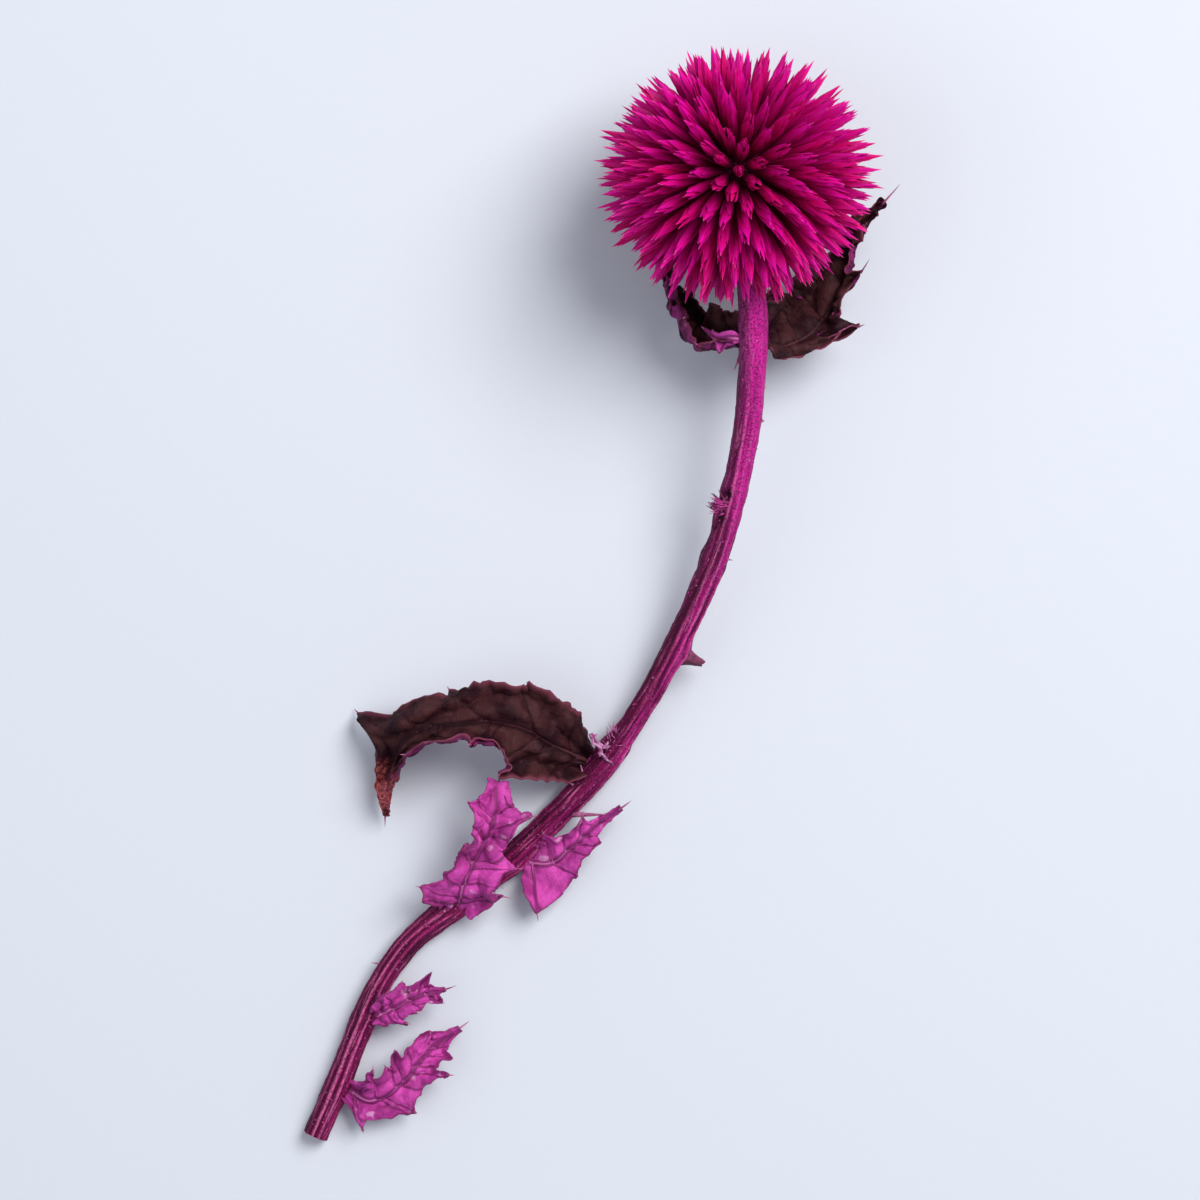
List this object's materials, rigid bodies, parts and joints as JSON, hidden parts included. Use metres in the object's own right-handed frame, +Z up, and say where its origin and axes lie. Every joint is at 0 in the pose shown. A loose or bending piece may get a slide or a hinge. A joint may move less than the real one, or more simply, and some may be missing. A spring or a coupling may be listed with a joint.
{
  "type": "dried thistle flower head",
  "caption": "Spiky ball-shaped dried thistle flower head on its curved cut stem with crumpled spiny leaves, dyed magenta, lying flat.",
  "frame": {"origin": "middle of the box's footprint, on the surface that the flower lies on", "axes": "+Y from the cut end of the stem towards the crown of the head, +X to the right of that seen from above, +Z up"},
  "size_m": [0.1062, 0.1968, 0.0509],
  "materials": {
    "floret_magenta": "dry dyed bracts, satin",
    "stem_magenta": "ridged dry dyed stem, satin",
    "leaf_dark": "dry leaf, matte",
    "leaf_pink": "dry dyed leaf underside, matte"
  },
  "bodies": {
    "root": {"floret_crown": "floret_magenta", "floret_row_01": "floret_magenta", "floret_row_02": "floret_magenta", "floret_row_03": "floret_magenta", "floret_row_04": "floret_magenta", "floret_row_05": "floret_magenta", "floret_row_06": "floret_magenta", "floret_row_07": "floret_magenta", "floret_row_08": "floret_magenta", "floret_row_09": "floret_magenta", "floret_row_10": "floret_magenta", "floret_row_11": "floret_magenta", "floret_row_12": "floret_magenta", "floret_row_13": "floret_magenta", "floret_row_14": "floret_magenta", "floret_row_15": "floret_magenta", "floret_row_16": "floret_magenta", "floret_row_17": "floret_magenta", "floret_row_18": "floret_magenta", "floret_row_19": "floret_magenta", "floret_row_20": "floret_magenta", "floret_row_21": "floret_magenta", "stem": "stem_magenta", "upper_leaf_right": "leaf_dark", "upper_leaf_left": "leaf_dark", "middle_leaf_dark": "leaf_dark", "middle_leaf_pink": "leaf_pink", "middle_leaf_under": "leaf_pink", "lower_leaf_small": "leaf_pink", "lower_leaf_broad": "leaf_pink"}
  },
  "joints": []
}
